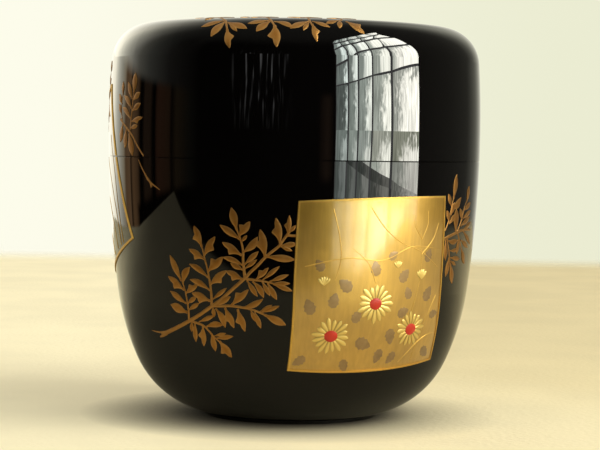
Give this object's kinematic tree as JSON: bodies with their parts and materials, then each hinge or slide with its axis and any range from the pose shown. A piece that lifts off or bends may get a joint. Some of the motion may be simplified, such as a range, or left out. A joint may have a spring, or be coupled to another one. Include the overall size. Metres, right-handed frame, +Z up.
{
  "type": "lacquer tea caddy",
  "caption": "Round lidded caddy of turned wood in black lacquer: a lift-off lid slides over the cup's inner collar, and a gold card and gold fern sprays decorate the outside.",
  "frame": {"origin": "centre of the foot, on the surface that the caddy stands on", "axes": "+Z up along the axis of the turned form; -Y is the decorated front; +X is to the viewer's right"},
  "size_m": [0.0661, 0.066, 0.07],
  "materials": {
    "wood": "matte",
    "black_lacquer": "high gloss",
    "red_lacquer": "high gloss",
    "gold": "satin gold powder"
  },
  "bodies": {
    "body": {"body_core": "wood", "body_outer_lacquer": "black_lacquer", "foot_lacquer": "black_lacquer", "body_inner_lacquer": "black_lacquer", "gold_card": "gold", "card_border": "gold", "side_card_line_cup": "gold"},
    "lid": {"lid_core": "wood", "lid_outer_lacquer": "black_lacquer", "lid_inner_lacquer": "black_lacquer", "side_card_line_lid": "gold"}
  },
  "joints": [
    {"name": "lid_lift", "type": "slide", "parent": "body", "child": "lid", "axis": [0, 0, 1], "range_m": [0, 0.045]}
  ]
}
